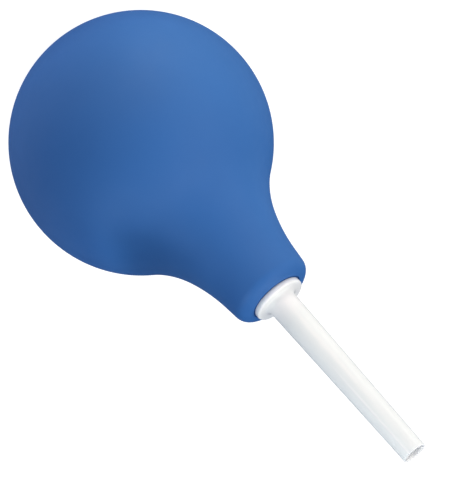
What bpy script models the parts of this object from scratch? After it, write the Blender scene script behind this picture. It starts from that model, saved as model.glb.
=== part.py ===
"""Bulb nasal aspirator: a soft rubber squeeze bulb with a push-in plastic nozzle.

The aspirator stands on the flat pole of its bulb with the nozzle pointing up. The origin is
the centre of that flat, and +Z is the axis that every piece is turned about.

The real object comes apart into two pieces, the rubber bulb and the nozzle. The bulb is one
moulding, but its ball and its neck are two nodes here, because a squeeze between thumb and
fingers brings the neck down towards the base while the ball flattens.
"""

import math

import bpy

MM = 0.001                      # metres in a millimetre; all sizes below are millimetres

# Fit
GAP = 0.3                       # clearance between neighbouring solids

# Rubber bulb
BALL_RADIUS = 25.0
BASE_RADIUS = 7.5               # flat that the bulb stands on
BASE_THICKNESS = 2.6
WALL = 2.3                      # rubber wall of the ball
SHOULDER_LEAN = 49.0            # inward lean of the wall where the ball turns into the neck, degrees
SHOULDER_FILLET = 22.0          # radius of the hollow curve from the ball into the neck
NECK_LEAN = 20.2                # lean where that curve opens out into a flatter one
NECK_FILLET = 34.0
COLLAR_LEAN = 6.0               # lean of the almost straight collar at the mouth
COLLAR_LENGTH = 2.38
LIP_RADIUS = 2.63               # rounding between the collar and the end face

# Inside of the neck
FUNNEL_LEAN = 40.0              # slope of the funnel that gathers towards the socket
FUNNEL_ENTRY_RADIUS = 5.0
SOCKET_ENTRY_RADIUS = 4.0
SOCKET_RADIUS = 2.95            # bore that grips the nozzle's spigot
SOCKET_CHAMFER = 0.4

# Nozzle
FLANGE_RADIUS = 5.05
FLANGE_THICKNESS = 1.1
FLANGE_EDGE = 0.22              # rounding of the flange's rim
ROOT_RADIUS = 2.79              # tube where it leaves the flange
ROOT_FILLET = 0.9
TIP_RADIUS = 2.29
TIP_EDGE = 0.1                  # rounding of the tip, outside and inside
TUBE_LENGTH = 37.4              # flange's front face to the tip
TIP_BORE_RADIUS = 2.0
SPIGOT_LENGTH = 11.0            # the part that sits in the neck
SPIGOT_RADIUS = 2.15
SPIGOT_BORE_RADIUS = 0.85
SPIGOT_CHAMFER = 0.4
BARB_RADIUS = 2.6
BARB_LENGTH = 2.4
BARB_ENDS = (4.0, 8.0)          # distance of each barb's step below the flange

# Facets
BULB_SEGMENTS = 64
NOZZLE_SEGMENTS = 40
ROUNDING_STEP = 15.0            # most degrees that one facet of a small rounding turns
CURVE_STEP = 6.5                # the same for the ball and the neck's long curves


class Pen:
    """Draws half a section in millimetres, as (radius, height) points.

    The heading is in degrees: 0 is straight up, positive leans away from the axis.
    """

    def __init__(self, radius, height, heading=0.0):
        self.heading = heading
        self.points = [(radius, height)]

    @property
    def radius(self):
        return self.points[-1][0]

    @property
    def height(self):
        return self.points[-1][1]

    def to(self, radius, height):
        self.points.append((radius, height))

    def line(self, length):
        lean = math.radians(self.heading)
        self.to(self.radius + length * math.sin(lean), self.height + length * math.cos(lean))

    def line_to_radius(self, radius):
        self.line((radius - self.radius) / math.sin(math.radians(self.heading)))

    def turn(self, arc_radius, heading, step=ROUNDING_STEP):
        """Follow an arc that starts along the present heading and ends along the new one."""
        side = 1.0 if heading > self.heading else -1.0
        start = math.radians(self.heading)
        centre_radius = self.radius + side * arc_radius * math.cos(start)
        centre_height = self.height - side * arc_radius * math.sin(start)
        count = max(1, math.ceil(abs(heading - self.heading) / step))
        for index in range(1, count + 1):
            lean = start + math.radians(heading - self.heading) * index / count
            self.to(centre_radius - side * arc_radius * math.cos(lean),
                    centre_height + side * arc_radius * math.sin(lean))
        self.heading = heading


def ball_centre():
    """Height of the ball's centre above its flat."""
    return math.sqrt(BALL_RADIUS ** 2 - BASE_RADIUS ** 2)


def shoulder_height():
    """Height of the joint between the ball's node and the neck's."""
    return ball_centre() + BALL_RADIUS * math.sin(math.radians(SHOULDER_LEAN))


def sphere_lean(radius, height):
    """Heading of a sphere about the ball's centre, going up, where it passes a height."""
    return -math.degrees(math.asin((height - ball_centre()) / radius))


def neck_outside():
    """Pen that has drawn the neck's outside, from the shoulder to the edge of its end face."""
    pen = Pen(BALL_RADIUS * math.cos(math.radians(SHOULDER_LEAN)), shoulder_height(), -SHOULDER_LEAN)
    pen.turn(SHOULDER_FILLET, -NECK_LEAN, CURVE_STEP)
    pen.turn(NECK_FILLET, -COLLAR_LEAN, CURVE_STEP)
    pen.line(COLLAR_LENGTH)
    pen.turn(LIP_RADIUS, -90.0)
    return pen


def neck_top():
    return neck_outside().height


def ball_section():
    """The ball's open shell, drawn from the base's centre up the outside and down the inside."""
    top = shoulder_height() - GAP
    outside = Pen(BASE_RADIUS, 0.0, sphere_lean(BALL_RADIUS, 0.0))
    outside.turn(BALL_RADIUS, sphere_lean(BALL_RADIUS, top), CURVE_STEP)

    inner_radius = BALL_RADIUS - WALL
    floor_radius = math.sqrt(inner_radius ** 2 - (ball_centre() - BASE_THICKNESS) ** 2)
    inside = Pen(floor_radius, BASE_THICKNESS, sphere_lean(inner_radius, BASE_THICKNESS))
    inside.turn(inner_radius, sphere_lean(inner_radius, top), CURVE_STEP)

    return [(0.0, 0.0)] + outside.points + inside.points[::-1] + [(0.0, BASE_THICKNESS)]


def neck_section():
    """The neck's ring: its bell-shaped outside, and the funnel and socket inside it."""
    outside = neck_outside()
    outside.to(SOCKET_RADIUS + SOCKET_CHAMFER, outside.height)

    inner_radius = BALL_RADIUS - WALL
    start_lean = sphere_lean(inner_radius, shoulder_height())
    inside = Pen(inner_radius * math.cos(math.radians(start_lean)), shoulder_height(), start_lean)
    inside.turn(FUNNEL_ENTRY_RADIUS, -FUNNEL_LEAN)
    entry_width = SOCKET_ENTRY_RADIUS * (1.0 - math.cos(math.radians(FUNNEL_LEAN)))
    inside.line_to_radius(SOCKET_RADIUS + entry_width)
    inside.turn(SOCKET_ENTRY_RADIUS, 0.0)
    inside.to(SOCKET_RADIUS, outside.height - SOCKET_CHAMFER)

    return outside.points + inside.points[::-1]


def nozzle_section():
    """The nozzle's ring, drawn from the spigot's end up the outside and down the bore."""
    back = neck_top() + GAP
    front = back + FLANGE_THICKNESS
    spigot_end = back - SPIGOT_LENGTH
    tip = front + TUBE_LENGTH

    outside = Pen(SPIGOT_RADIUS - SPIGOT_CHAMFER, spigot_end)
    outside.to(SPIGOT_RADIUS, spigot_end + SPIGOT_CHAMFER)
    for distance in sorted(BARB_ENDS, reverse=True):
        step_height = back - distance
        outside.to(SPIGOT_RADIUS, step_height - BARB_LENGTH)
        outside.to(BARB_RADIUS, step_height)
        outside.to(SPIGOT_RADIUS, step_height)
    outside.to(SPIGOT_RADIUS, back)

    outside.to(FLANGE_RADIUS - FLANGE_EDGE, back)
    outside.heading = 90.0
    outside.turn(FLANGE_EDGE, 0.0, 45.0)
    outside.to(FLANGE_RADIUS, front - FLANGE_EDGE)
    outside.turn(FLANGE_EDGE, -90.0, 45.0)
    outside.to(ROOT_RADIUS + ROOT_FILLET, front)
    outside.turn(ROOT_FILLET, 0.0)
    outside.to(TIP_RADIUS, tip - TIP_EDGE)
    outside.turn(TIP_EDGE, -90.0, 45.0)

    outside.to(TIP_BORE_RADIUS + TIP_EDGE, tip)
    outside.to(TIP_BORE_RADIUS, tip - TIP_EDGE)
    outside.to(SPIGOT_BORE_RADIUS, spigot_end)
    return outside.points


def collection(name):
    made = bpy.data.collections.new(name)
    bpy.context.scene.collection.children.link(made)
    return made


def material(name, colour, roughness):
    made = bpy.data.materials.new(name)
    made.use_nodes = True
    shader = made.node_tree.nodes["Principled BSDF"]
    shader.inputs["Base Color"].default_value = (*colour, 1.0)
    shader.inputs["Roughness"].default_value = roughness
    shader.inputs["Metallic"].default_value = 0.0
    return made


def turned(name, section, closed, segments, finish, group):
    """Turn a section about Z. It goes up its outer side, so it is reversed for the modifier."""
    points = [(radius * MM, 0.0, height * MM) for radius, height in reversed(section)]
    edges = [(index, index + 1) for index in range(len(points) - 1)]
    if closed:
        edges.append((len(points) - 1, 0))
    mesh = bpy.data.meshes.new(name)
    mesh.from_pydata(points, edges, [])
    piece = bpy.data.objects.new(name, mesh)
    mesh.materials.append(finish)
    screw = piece.modifiers.new("turn", "SCREW")
    screw.axis = "Z"
    screw.steps = segments
    screw.render_steps = segments
    screw.use_merge_vertices = True
    screw.merge_threshold = 0.00001
    screw.use_smooth_shade = True
    group.objects.link(piece)
    return piece


def empty(name, height, group):
    """A marker on the axis, which a moving piece hangs from."""
    made = bpy.data.objects.new(name, None)
    made.empty_display_size = 0.01
    made.location = (0.0, 0.0, height * MM)
    group.objects.link(made)
    return made


def hang(piece, parent):
    """Parent a piece to a marker without moving it."""
    piece.parent = parent
    piece.matrix_parent_inverse = parent.matrix_world.inverted()


def main():
    for leftover in list(bpy.data.objects):
        bpy.data.objects.remove(leftover)

    parts = collection("nasal_aspirator")
    rubber = material("blue_rubber", (0.045, 0.150, 0.420), 0.55)
    plastic = material("white_plastic", (0.86, 0.87, 0.87), 0.30)

    turned("bulb_ball", ball_section(), False, BULB_SEGMENTS, rubber, parts)
    neck = turned("bulb_neck", neck_section(), True, BULB_SEGMENTS, rubber, parts)
    nozzle = turned("nozzle", nozzle_section(), True, NOZZLE_SEGMENTS, plastic, parts)

    squeeze = empty("bulb_squeeze", shoulder_height(), parts)
    pull = empty("nozzle_pull", neck_top(), parts)
    bpy.context.view_layer.update()
    hang(neck, squeeze)
    hang(pull, squeeze)
    bpy.context.view_layer.update()
    hang(nozzle, pull)


main()
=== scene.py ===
"""Looks of the bulb nasal aspirator: its rubber skin, its moulded nozzle, the light and the view.

Sections are drawn in millimetres, like the CAD, and become metres when they are turned.
"""

import math

import bmesh
import bpy
from mathutils import Matrix, Vector


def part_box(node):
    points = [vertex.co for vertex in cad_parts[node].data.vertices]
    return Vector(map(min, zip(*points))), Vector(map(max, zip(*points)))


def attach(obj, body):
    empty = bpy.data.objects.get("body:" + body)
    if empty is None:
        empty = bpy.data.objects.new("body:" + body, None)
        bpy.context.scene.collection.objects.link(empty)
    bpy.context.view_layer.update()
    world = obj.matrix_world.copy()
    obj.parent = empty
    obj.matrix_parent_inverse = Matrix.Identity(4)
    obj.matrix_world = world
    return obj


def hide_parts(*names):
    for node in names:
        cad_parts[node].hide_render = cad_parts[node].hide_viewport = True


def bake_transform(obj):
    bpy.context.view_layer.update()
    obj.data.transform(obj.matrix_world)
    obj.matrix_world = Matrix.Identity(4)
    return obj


MM = 0.001                      # metres in a millimetre

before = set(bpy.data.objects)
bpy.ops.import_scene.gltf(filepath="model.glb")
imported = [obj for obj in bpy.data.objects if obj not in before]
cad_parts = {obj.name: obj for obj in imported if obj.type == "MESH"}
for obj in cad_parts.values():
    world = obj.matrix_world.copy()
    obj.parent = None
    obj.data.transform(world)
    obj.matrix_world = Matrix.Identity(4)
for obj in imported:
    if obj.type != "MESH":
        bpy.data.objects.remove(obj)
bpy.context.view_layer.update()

# Places that the frame gives, in millimetres
SPIGOT_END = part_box("nozzle")[0].z / MM
CAD_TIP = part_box("nozzle")[1].z / MM
FLANGE_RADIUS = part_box("nozzle")[1].x / MM

# Rubber bulb
BALL_RADIUS = 25.0
BASE_RADIUS = 7.5
BALL_CENTRE = math.sqrt(BALL_RADIUS ** 2 - BASE_RADIUS ** 2)
BASE_EDGE = 4.0                 # soft rounding between the flat and the ball
BASE_THICKNESS = 2.6
FLOOR_EDGE = 4.0                # the same inside, round the cavity's floor
RECESS_RADIUS = 5.0             # shallow moulded dish in the middle of the flat
RECESS_DEPTH = 0.25
WALL = 2.3
SHOULDER_LEAN = 49.0            # degrees from the axis
SHOULDER_FILLET = 22.0
NECK_LEAN = 20.2
NECK_FILLET = 34.0
COLLAR_LEAN = 6.0
LIP_RADIUS = 2.4                # rounding between the collar and the end face
FUNNEL_LEAN = 40.0
FUNNEL_ENTRY_RADIUS = 5.0
SOCKET_ENTRY_RADIUS = 4.0
SOCKET_RADIUS = 2.95
SOCKET_EDGE = 0.4
SEAT_DEPTH = 0.03               # the flange is pressed this far into the rubber
CREASE_DEPTH = 0.45             # narrow groove in the end face, round the flange's rim
CREASE_WIDTH = 0.3

# Nozzle
SPIGOT_LENGTH = 11.0
FLANGE_BACK = SPIGOT_END + SPIGOT_LENGTH
FLANGE_THICKNESS = 1.1
FLANGE_FRONT = FLANGE_BACK + FLANGE_THICKNESS
FLANGE_EDGE = 0.35              # rounding of the flange's front edge
FLANGE_HEEL = 0.1               # rounding of its edge against the rubber
ROOT_RADIUS = 2.79
ROOT_FILLET = 0.9
TIP_RADIUS = 2.29
TIP_EDGE = 0.06                 # the tip's outer edge is crisp
TIP_BORE_RADIUS = 1.87
TIP_REACH = 0.1                 # the lip stands this far past the CAD's tip
TIP = CAD_TIP + TIP_REACH
SPIGOT_RADIUS = 2.15
SPIGOT_BORE_RADIUS = 0.85
SPIGOT_CHAMFER = 0.4
BARB_RADIUS = 2.6
BARB_LENGTH = 2.4
BARB_ENDS = (4.0, 8.0)
BARB_EDGE = 0.08
BARB_EASE = 2.4 * BARB_EDGE     # a barb's slope flattens over this length before its edge
RIDGE_START = 15.0              # mould's parting line on the tube, from the flange's front face
RIDGE_FADE = 10.0               # it rises to its full height over this length
RIDGE_HEIGHT = 0.03
RIDGE_WIDTH = 0.5
RIDGE_AZIMUTH = 18.75           # degrees; there is another line opposite

# Colours, as the two that noise blends between
RUBBER_BLUES = ((0.0334, 0.1331, 0.396), (0.0346, 0.1375, 0.408))
PLASTIC_WHITES = ((0.840, 0.862, 0.864), (0.855, 0.877, 0.879))
PAPER_GREYS = ((0.19, 0.19, 0.19), (0.21, 0.21, 0.21))
CARD_BLACKS = ((0.01, 0.01, 0.01), (0.02, 0.02, 0.02))
NOISE_RANGE = (0.3, 0.7)        # Blender's noise keeps mostly within this

# Where the plastic's colour is painted lighter, standing in for light that falls on it, and the
# colours it turns to
# painted light: the flange and the tube's root are painted whiter
FLANGE_PAINTED_LIGHT_WHITE = (0.95, 0.945, 0.945)
FLANGE_PAINTED_LIGHT_NEAR = 1.0                # it is at its whitest up to this far in front of the flange
FLANGE_PAINTED_LIGHT_FAR = 5.0                 # and no whiter than the tube past this
# painted light inside the bore
BORE_PAINTED_LIGHT_WHITE = (0.97, 0.97, 0.965)
# painted highlight along the mould's parting line
RIDGE_PAINTED_HIGHLIGHT_WHITE = (0.97, 0.97, 0.975)
SCATTERING = 0.0004             # how far light travels in the plastic, metres

# Fineness
BULB_SEGMENTS = 144
NOZZLE_SEGMENTS = 96
ROW = 0.9                       # longest step along a section, millimetres
ROUNDING_STEP = 10.0            # most degrees that one step of a small rounding turns
SHARP_ANGLE = 50.0              # degrees between faces that meet in a crisp edge
ON_AXIS = 1e-6                  # a point nearer to the axis than this is on it, millimetres

# Studio, in metres
FLOOR_SIZE = 6.0
FLOOR_DROP = 0.0002             # the paper is just clear of the base
SOFTBOX_SIZE = 0.6
SOFTBOX_DISTANCE = 0.8          # to the ball's centre
CARD_SIZE = 0.09                # glowing panel at one side of the bulb, black card at the other
CARD_DISTANCE = 0.1
PANEL_HEIGHT = 0.002
PANEL_POWER = 0.0403
PANEL_COLOUR = (1.08, 1.0, 0.65)
SKY_COLOUR = (0.13, 0.27, 1.0)
SKY_STRENGTH = 0.15

# View, in metres and degrees; the lens and its sensor in millimetres
CAMERA_LENS = 144.0
CAMERA_SENSOR = 36.0
CAMERA_CLIP = (0.01, 20.0)
CAMERA_DISTANCE = 0.3775        # to the ball's centre
CAMERA_TILT = 21.9              # above the horizon
CAMERA_ROLL = 138.68            # turns the upright bulb's nozzle down to the right
AIM_RIGHT = 0.01623             # from the ball's centre to the middle of the view
AIM_DOWN = 0.02015

# Sockets that the mix node uses for colours
MIX_FACTOR, MIX_FROM, MIX_TO, MIX_RESULT = 0, 6, 7, 2


class Pen:
    """Draws half a section in millimetres, as (radius, height) points.

    The heading is in degrees: 0 is straight up, positive leans away from the axis.
    """

    def __init__(self, radius, height, heading=0.0):
        self.heading = heading
        self.points = [(radius, height)]

    @property
    def radius(self):
        return self.points[-1][0]

    @property
    def height(self):
        return self.points[-1][1]

    def to(self, radius, height):
        """Straight to a point, in steps no longer than a row."""
        start_radius, start_height = self.points[-1]
        length = math.hypot(radius - start_radius, height - start_height)
        count = max(1, math.ceil(length / ROW))
        for index in range(1, count + 1):
            share = index / count
            self.points.append((start_radius + (radius - start_radius) * share,
                                start_height + (height - start_height) * share))

    def line(self, length):
        lean = math.radians(self.heading)
        self.to(self.radius + length * math.sin(lean), self.height + length * math.cos(lean))

    def line_to_radius(self, radius):
        self.line((radius - self.radius) / math.sin(math.radians(self.heading)))

    def turn(self, arc_radius, heading):
        """Follow an arc that starts along the present heading and ends along the new one."""
        side = 1.0 if heading > self.heading else -1.0
        start = math.radians(self.heading)
        sweep = math.radians(heading) - start
        centre_radius = self.radius + side * arc_radius * math.cos(start)
        centre_height = self.height - side * arc_radius * math.sin(start)
        count = math.ceil(max(abs(sweep) * arc_radius / ROW,
                              abs(math.degrees(sweep)) / ROUNDING_STEP))
        for index in range(1, count + 1):
            lean = start + sweep * index / count
            self.points.append((centre_radius - side * arc_radius * math.cos(lean),
                                centre_height + side * arc_radius * math.sin(lean)))
        self.heading = heading


def sphere_lean(radius, height):
    """Heading of a sphere about the ball's centre, going up, where it passes a height."""
    return -math.degrees(math.asin((height - BALL_CENTRE) / radius))


def edge_of_sphere(sphere_radius, floor, edge_radius):
    """Radius where a floor inside a sphere meets its rounded edge, and the heading where that
    edge meets the sphere."""
    reach = sphere_radius - edge_radius
    drop = BALL_CENTRE - floor - edge_radius
    return math.sqrt(reach ** 2 - drop ** 2), math.degrees(math.asin(drop / reach))


def bulb_section():
    """The whole moulding: up its outside from the base, over the lip and down its inside."""
    start, lean = edge_of_sphere(BALL_RADIUS, 0.0, BASE_EDGE)
    outside = Pen(0.0, RECESS_DEPTH, 90.0)
    outside.to(RECESS_RADIUS - 2.0 * RECESS_DEPTH, RECESS_DEPTH)
    outside.turn(RECESS_DEPTH, 135.0)
    outside.turn(RECESS_DEPTH, 90.0)
    outside.to(outside.radius, 0.0)
    outside.to(start, 0.0)
    outside.turn(BASE_EDGE, lean)
    outside.turn(BALL_RADIUS, -SHOULDER_LEAN)
    outside.turn(SHOULDER_FILLET, -NECK_LEAN)
    outside.turn(NECK_FILLET, -COLLAR_LEAN)
    seat = FLANGE_BACK + SEAT_DEPTH
    lip_height = LIP_RADIUS * (1.0 - math.sin(math.radians(COLLAR_LEAN)))
    outside.line((seat - lip_height - outside.height) / math.cos(math.radians(COLLAR_LEAN)))
    outside.turn(LIP_RADIUS, -90.0)
    outside.to(FLANGE_RADIUS + CREASE_WIDTH, seat)
    outside.to(FLANGE_RADIUS + 0.5 * CREASE_WIDTH, seat - CREASE_DEPTH)
    outside.to(FLANGE_RADIUS - 0.5 * CREASE_WIDTH, seat)
    outside.to(SOCKET_RADIUS + SOCKET_EDGE, seat)
    outside.heading = -90.0
    outside.turn(SOCKET_EDGE, -180.0)

    inner_radius = BALL_RADIUS - WALL
    start, lean = edge_of_sphere(inner_radius, BASE_THICKNESS, FLOOR_EDGE)
    inside = Pen(0.0, BASE_THICKNESS, 90.0)
    inside.to(start, BASE_THICKNESS)
    inside.turn(FLOOR_EDGE, lean)
    shoulder = BALL_CENTRE + BALL_RADIUS * math.sin(math.radians(SHOULDER_LEAN))
    inside.turn(inner_radius, sphere_lean(inner_radius, shoulder))
    inside.turn(FUNNEL_ENTRY_RADIUS, -FUNNEL_LEAN)
    entry_width = SOCKET_ENTRY_RADIUS * (1.0 - math.cos(math.radians(FUNNEL_LEAN)))
    inside.line_to_radius(SOCKET_RADIUS + entry_width)
    inside.turn(SOCKET_ENTRY_RADIUS, 0.0)
    inside.to(SOCKET_RADIUS, outside.height)
    return outside.points + inside.points[-2::-1]


def nozzle_section():
    """The nozzle's ring: up its outside from the spigot's end, over the tip and down the bore."""
    outside = Pen(SPIGOT_RADIUS - SPIGOT_CHAMFER, SPIGOT_END)
    outside.to(SPIGOT_RADIUS, SPIGOT_END + SPIGOT_CHAMFER)
    for distance in sorted(BARB_ENDS, reverse=True):
        step = FLANGE_BACK - distance
        outside.to(SPIGOT_RADIUS, step - BARB_LENGTH)
        outside.to(BARB_RADIUS - BARB_EDGE, step - BARB_EASE)
        outside.to(BARB_RADIUS, step - BARB_EDGE)
        outside.to(BARB_RADIUS - BARB_EDGE, step)
        outside.to(SPIGOT_RADIUS, step)
    outside.to(SPIGOT_RADIUS, FLANGE_BACK)

    outside.to(FLANGE_RADIUS - FLANGE_HEEL, FLANGE_BACK)
    outside.heading = 90.0
    outside.turn(FLANGE_HEEL, 0.0)
    outside.to(FLANGE_RADIUS, FLANGE_FRONT - FLANGE_EDGE)
    outside.turn(FLANGE_EDGE, -90.0)
    outside.to(ROOT_RADIUS + ROOT_FILLET, FLANGE_FRONT)
    outside.turn(ROOT_FILLET, 0.0)
    outside.to(TIP_RADIUS, TIP - TIP_EDGE)
    outside.turn(TIP_EDGE, -90.0)
    outside.to(TIP_BORE_RADIUS + 0.5 * TIP_EDGE, TIP)
    outside.to(TIP_BORE_RADIUS, TIP - 0.5 * TIP_EDGE)
    outside.to(SPIGOT_BORE_RADIUS, SPIGOT_END)
    return outside.points


def turned(name, section, closed, segments, material):
    """Turn a section about Z into a mesh of rings, with a fan where it starts or ends on Z."""
    mesh = bpy.data.meshes.new(name)
    shape = bmesh.new()
    rings = []
    for radius, height in section:
        if radius < ON_AXIS:
            rings.append([shape.verts.new((0.0, 0.0, height * MM))])
            continue
        turn = 2.0 * math.pi / segments
        rings.append([shape.verts.new((radius * MM * math.cos(turn * index),
                                       radius * MM * math.sin(turn * index),
                                       height * MM)) for index in range(segments)])
    pairs = list(zip(rings, rings[1:]))
    if closed:
        pairs.append((rings[-1], rings[0]))
    for lower, upper in pairs:
        for index in range(segments):
            after = (index + 1) % segments
            if len(lower) == 1:
                shape.faces.new((lower[0], upper[after], upper[index]))
            elif len(upper) == 1:
                shape.faces.new((lower[index], lower[after], upper[0]))
            else:
                shape.faces.new((lower[index], lower[after], upper[after], upper[index]))
    shape.normal_update()
    shape.to_mesh(mesh)
    shape.free()
    mesh.shade_smooth()
    mesh.set_sharp_from_angle(angle=math.radians(SHARP_ANGLE))
    mesh.materials.append(material)
    piece = bpy.data.objects.new(name, mesh)
    bpy.context.scene.collection.objects.link(piece)
    return piece


class Recipe:
    """A node material under construction, with short ways to add and join nodes."""

    def __init__(self, name):
        self.material = bpy.data.materials.new(name)
        self.material.use_nodes = True
        self.nodes = self.material.node_tree.nodes
        self.links = self.material.node_tree.links
        self.shader = self.nodes["Principled BSDF"]
        self.place = self.nodes.new("ShaderNodeTexCoord").outputs["Object"]

    def set(self, **values):
        """Set the shader's own sockets, by their names with underscores for spaces."""
        for key, value in values.items():
            self.shader.inputs[key.replace("_", " ")].default_value = value

    def noise(self, size, detail=2.0):
        """Noise whose features are about this many millimetres across."""
        node = self.nodes.new("ShaderNodeTexNoise")
        node.inputs["Scale"].default_value = 1.0 / (size * MM)
        node.inputs["Detail"].default_value = detail
        self.links.new(self.place, node.inputs["Vector"])
        return node.outputs["Fac"]

    def spread(self, factor, low, high):
        """Map noise, which keeps near its middle, onto a range of values."""
        node = self.nodes.new("ShaderNodeMapRange")
        node.inputs["From Min"].default_value = NOISE_RANGE[0]
        node.inputs["From Max"].default_value = NOISE_RANGE[1]
        node.inputs["To Min"].default_value = low
        node.inputs["To Max"].default_value = high
        self.links.new(factor, node.inputs["Value"])
        return node.outputs["Result"]

    def colours(self, factor, low, high):
        """Blend between two colours by noise."""
        node = self.nodes.new("ShaderNodeValToRGB")
        ends = zip(node.color_ramp.elements, NOISE_RANGE, (low, high))
        for element, position, colour in ends:
            element.position = position
            element.color = (*colour, 1.0)
        self.links.new(factor, node.inputs["Fac"])
        return node.outputs["Color"]

    def bump(self, layers):
        """Stack bumps: each layer is a height and its depth in millimetres."""
        normal = None
        for height, depth in layers:
            node = self.nodes.new("ShaderNodeBump")
            node.inputs["Strength"].default_value = 1.0
            node.inputs["Distance"].default_value = depth * MM
            self.links.new(height, node.inputs["Height"])
            if normal is not None:
                self.links.new(normal, node.inputs["Normal"])
            normal = node.outputs["Normal"]
        self.join(normal, "Normal")

    def distance(self, direction):
        """How far a point lies along a direction from the object's origin, in metres."""
        node = self.nodes.new("ShaderNodeVectorMath")
        node.operation = "DOT_PRODUCT"
        node.inputs[1].default_value = direction
        self.links.new(self.place, node.inputs[0])
        return node.outputs["Value"]

    def radius(self):
        """How far a point lies from the Z axis, in metres."""
        flat = self.nodes.new("ShaderNodeVectorMath")
        flat.operation = "MULTIPLY"
        flat.inputs[1].default_value = (1.0, 1.0, 0.0)
        self.links.new(self.place, flat.inputs[0])
        node = self.nodes.new("ShaderNodeVectorMath")
        node.operation = "LENGTH"
        self.links.new(flat.outputs["Vector"], node.inputs[0])
        return node.outputs["Value"]

    def ramp(self, value, low, high):
        """Rises from 0 at one value to 1 at another."""
        node = self.nodes.new("ShaderNodeMapRange")
        node.inputs["From Min"].default_value = low
        node.inputs["From Max"].default_value = high
        self.links.new(value, node.inputs["Value"])
        return node.outputs["Result"]

    def combine(self, operation, *values):
        """Arithmetic on one or two values."""
        node = self.nodes.new("ShaderNodeMath")
        node.operation = operation
        for index, value in enumerate(values):
            self.links.new(value, node.inputs[index])
        return node.outputs["Value"]

    def towards(self, colour, target, factor):
        """Blend a colour towards a fixed one."""
        node = self.nodes.new("ShaderNodeMix")
        node.data_type = "RGBA"
        node.inputs[MIX_TO].default_value = (*target, 1.0)
        self.links.new(factor, node.inputs[MIX_FACTOR])
        self.links.new(colour, node.inputs[MIX_FROM])
        return node.outputs[MIX_RESULT]

    def join(self, output, socket):
        """Feed one of the shader's sockets."""
        self.links.new(output, self.shader.inputs[socket])


def rubber_material():
    """Satin blue moulded rubber: faint mottling and a fine matt grain."""
    rubber = Recipe("blue_rubber")
    rubber.set(Metallic=0.0, IOR=1.5, Specular_IOR_Level=0.18)
    rubber.join(rubber.colours(rubber.noise(9.0, detail=3.0), *RUBBER_BLUES), "Base Color")
    rubber.join(rubber.spread(rubber.noise(3.0, detail=4.0), 0.52, 0.62), "Roughness")
    rubber.bump(((rubber.noise(0.25), 0.004), (rubber.noise(4.0), 0.01)))
    return rubber.material


def plastic_material():
    """White polypropylene. Its colour is painted lighter at and near the flange and in the bore,
    standing in for light there, and a painted highlight runs along the line where the halves of
    its mould met."""
    plastic = Recipe("white_plastic")
    plastic.set(Metallic=0.0, IOR=1.49, Subsurface_Weight=1.0, Subsurface_Scale=SCATTERING)
    plastic.shader.inputs["Subsurface Radius"].default_value = (1.0, 1.0, 1.0)
    colour = plastic.colours(plastic.noise(5.0), *PLASTIC_WHITES)

    front = FLANGE_FRONT * MM
    height = plastic.distance((0.0, 0.0, 1.0))
    # painted light: whiter at the flange, fading out over the tube's first few millimetres in
    # front of it
    painted_flange_light = plastic.ramp(height, front + FLANGE_PAINTED_LIGHT_FAR * MM, front + FLANGE_PAINTED_LIGHT_NEAR * MM)
    colour = plastic.towards(colour, FLANGE_PAINTED_LIGHT_WHITE, painted_flange_light)

    # painted light: everything nearer the axis than the tip's outside (the bore, and the spigot
    # hidden in the rubber) is painted whiter, standing in for light that reaches in there
    inside = plastic.ramp(plastic.radius(), (TIP_RADIUS - TIP_EDGE) * MM,
                          (TIP_RADIUS - 2.0 * TIP_EDGE) * MM)
    colour = plastic.towards(colour, BORE_PAINTED_LIGHT_WHITE, inside)

    # painted highlight: a whiter stripe along the parting line on both sides, fading in from its
    # start, standing in for the glint its crest catches
    a = math.radians(RIDGE_AZIMUTH)
    aside = plastic.combine("ABSOLUTE", plastic.distance((math.cos(a), math.sin(a), 0.0)))
    ridge_highlight_across = plastic.ramp(aside, 0.5 * RIDGE_WIDTH * MM, 0.0)
    start = front + RIDGE_START * MM
    along = plastic.ramp(height, start, start + RIDGE_FADE * MM)
    colour = plastic.towards(colour, RIDGE_PAINTED_HIGHLIGHT_WHITE, plastic.combine("MULTIPLY", ridge_highlight_across, along))

    plastic.join(colour, "Base Color")
    plastic.join(plastic.spread(plastic.noise(1.5, detail=3.0), 0.17, 0.21), "Roughness")
    return plastic.material


def floor_material():
    """Pale paper, bright enough to stay plain white under the object."""
    paper = Recipe("pale_floor")
    paper.set(Roughness=0.9, Emission_Color=(1.0, 1.0, 1.0, 1.0), Emission_Strength=1.0)
    paper.join(paper.colours(paper.noise(40.0), *PAPER_GREYS), "Base Color")
    return paper.material


def card_material():
    """Matt black card."""
    card = Recipe("black_card")
    card.set(Roughness=0.9, Specular_IOR_Level=0.0)
    card.join(card.colours(card.noise(20.0), *CARD_BLACKS), "Base Color")
    return card.material


def from_direction(azimuth, elevation):
    """Unit vector towards a direction: azimuth 0 is the viewer's side, -Y, and 90 is +X."""
    a = math.radians(azimuth)
    e = math.radians(elevation)
    return Vector((math.sin(a) * math.cos(e), -math.cos(a) * math.cos(e), math.sin(e)))


def make_bulb():
    """One skin over the ball's node and the neck's, which are hidden."""
    bulb = turned("rubber_bulb", bulb_section(), False, BULB_SEGMENTS, rubber_material())
    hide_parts("bulb_ball", "bulb_neck")
    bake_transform(bulb)


def ridge_columns():
    """Columns of the turned nozzle that the parting line follows, on opposite sides. Column 0 is
    towards +X, which is azimuth 90."""
    first = round((RIDGE_AZIMUTH - 90.0) / 360.0 * NOZZLE_SEGMENTS)
    return [(first + turn) % NOZZLE_SEGMENTS for turn in (0, NOZZLE_SEGMENTS // 2)]


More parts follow.
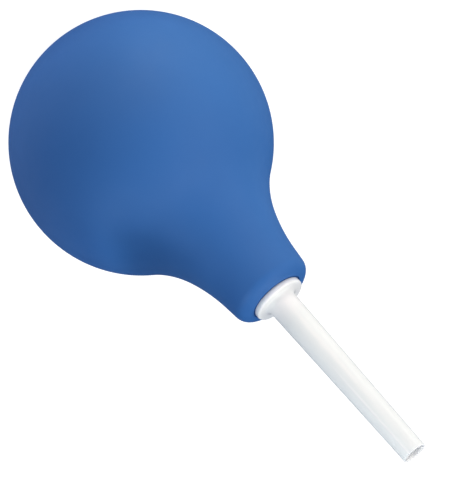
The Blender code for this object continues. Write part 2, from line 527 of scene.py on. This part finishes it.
def raise_parting_line(nozzle):
    """Lift two columns of the tube's outside a little, where the halves of its mould met."""
    columns = ridge_columns()
    start = FLANGE_FRONT + RIDGE_START
    middle_of_wall = 0.5 * (TIP_RADIUS + TIP_BORE_RADIUS)
    for vertex in nozzle.data.vertices:
        radius = math.hypot(vertex.co.x, vertex.co.y)
        height = vertex.co.z / MM
        outside = radius / MM > middle_of_wall and start < height < TIP - TIP_EDGE
        if outside and vertex.index % NOZZLE_SEGMENTS in columns:
            lift = RIDGE_HEIGHT * min(1.0, (height - start) / RIDGE_FADE)
            vertex.co.x *= 1.0 + lift * MM / radius
            vertex.co.y *= 1.0 + lift * MM / radius


def make_nozzle():
    """The nozzle, with its tube, flange and barbed spigot in one piece."""
    nozzle = turned("plastic_nozzle", nozzle_section(), True, NOZZLE_SEGMENTS, plastic_material())
    raise_parting_line(nozzle)
    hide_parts("nozzle")
    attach(nozzle, "nozzle")


def make_floor():
    """White paper that glows evenly, like a light table, so that the object casts no shadow."""
    bpy.ops.mesh.primitive_plane_add(size=FLOOR_SIZE, location=(0.0, 0.0, -FLOOR_DROP))
    floor = bpy.context.object
    floor.name = "floor"
    floor.data.materials.append(floor_material())
    floor.visible_glossy = False


def soft_light(name, place, target, width, height, power, colour):
    """A softbox aimed at a target, seen in reflections but not by the camera."""
    light = bpy.data.lights.new(name, "AREA")
    light.color = colour
    light.shape = "RECTANGLE"
    light.size = width
    light.size_y = height
    light.energy = power
    lamp = bpy.data.objects.new(name, light)
    lamp.location = place
    lamp.rotation_mode = "QUATERNION"
    lamp.rotation_quaternion = (place - target).to_track_quat("Z", "Y")
    lamp.visible_camera = False
    bpy.context.scene.collection.objects.link(lamp)


def make_lights():
    """Three big softboxes round the ball, small lights close to the neck, the nozzle and the tip,
    and a panel that lies on the paper. Azimuths and elevations are in degrees, the rest in metres
    and watts."""
    ball = Vector((0.0, 0.0, BALL_CENTRE * MM))
    for name, azimuth, elevation, power, colour in (
            ("top", 0.0, 89.0, 3.39, (0.98, 1.0, 0.87)),
            ("key", -60.0, 40.0, 2.33, (1.08, 1.0, 0.85)),
            ("rim", -120.0, 15.0, 0.76, (0.85, 1.0, 0.75))):
        place = ball + from_direction(azimuth, elevation) * SOFTBOX_DISTANCE
        soft_light(name, place, ball, SOFTBOX_SIZE, SOFTBOX_SIZE, power, colour)

    for name, azimuth, distance, height, aim, size, power, colour in (
            ("strip", -69.0, 0.2, 0.06, 0.06, (0.06, 0.12), 0.038, (1.0, 1.0, 0.97)),
            ("low", -30.0, 0.2, 0.02, 0.05, (0.12, 0.04), 0.030, (1.3, 1.0, 0.9)),
            ("high", 65.0, 0.1, 0.11, 0.09, (0.05, 0.05), 0.041, (0.95, 1.02, 0.96)),
            ("crown", 0.0, 0.0, 0.18, 0.07, (0.03, 0.03), 0.02, (1.0, 1.0, 1.0))):
        place = from_direction(azimuth, 0.0) * distance + Vector((0.0, 0.0, height))
        soft_light(name, place, Vector((0.0, 0.0, aim)), *size, power, colour)

    panel = from_direction(-45.0, 0.0) * CARD_DISTANCE + Vector((0.0, 0.0, PANEL_HEIGHT))
    overhead = panel + Vector((0.0, 0.0, 1.0))
    soft_light("panel", panel, overhead, CARD_SIZE, CARD_SIZE, PANEL_POWER, PANEL_COLOUR)


def make_sky():
    """Faint blue light from all round."""
    world = bpy.data.worlds.new("studio")
    world.use_nodes = True
    sky = world.node_tree.nodes["Background"]
    sky.inputs["Color"].default_value = (*SKY_COLOUR, 1.0)
    sky.inputs["Strength"].default_value = SKY_STRENGTH
    bpy.context.scene.world = world


def make_flags():
    """Black cards that the camera doesn't see: one lies on the paper and hides its glow from one
    side of the bulb, and the other stands beside the neck and shades it."""
    black = card_material()
    for name, azimuth, distance, height, lean, width, length in (
            ("flag_flat", 45.0, CARD_DISTANCE, 0.0, 0.0, CARD_SIZE, CARD_SIZE),
            ("flag_upright", 80.0, 0.026, 0.055, 90.0, 0.03, 0.013)):
        place = from_direction(azimuth, 0.0) * distance + Vector((0.0, 0.0, height))
        turn = (math.radians(lean), 0.0, math.radians(azimuth))
        bpy.ops.mesh.primitive_plane_add(size=1.0, location=place, rotation=turn)
        card = bpy.context.object
        card.name = name
        card.scale = (width, length, 1.0)
        card.data.materials.append(black)
        card.visible_camera = False
        card.visible_glossy = False


def make_camera():
    """A long lens that looks down on the bulb a little, rolled so that the nozzle points down to
    the right."""
    camera = bpy.data.cameras.new("camera")
    camera.lens = CAMERA_LENS
    camera.sensor_width = CAMERA_SENSOR
    camera.clip_start, camera.clip_end = CAMERA_CLIP
    back = from_direction(0.0, CAMERA_TILT)
    across = Vector((1.0, 0.0, 0.0))
    along = back.cross(across)
    roll = math.radians(CAMERA_ROLL)
    right = across * math.cos(roll) + along * math.sin(roll)
    up = back.cross(right)
    place = (Vector((0.0, 0.0, BALL_CENTRE * MM)) + back * CAMERA_DISTANCE
             + right * AIM_RIGHT - up * AIM_DOWN)
    viewer = bpy.data.objects.new("camera", camera)
    facing = Matrix((right, up, back)).transposed().to_4x4()
    viewer.matrix_world = Matrix.Translation(place) @ facing
    bpy.context.scene.collection.objects.link(viewer)
    bpy.context.scene.camera = viewer


make_camera()
make_lights()
make_sky()
make_floor()
make_flags()
make_bulb()
make_nozzle()
bpy.context.scene.view_settings.view_transform = "Standard"
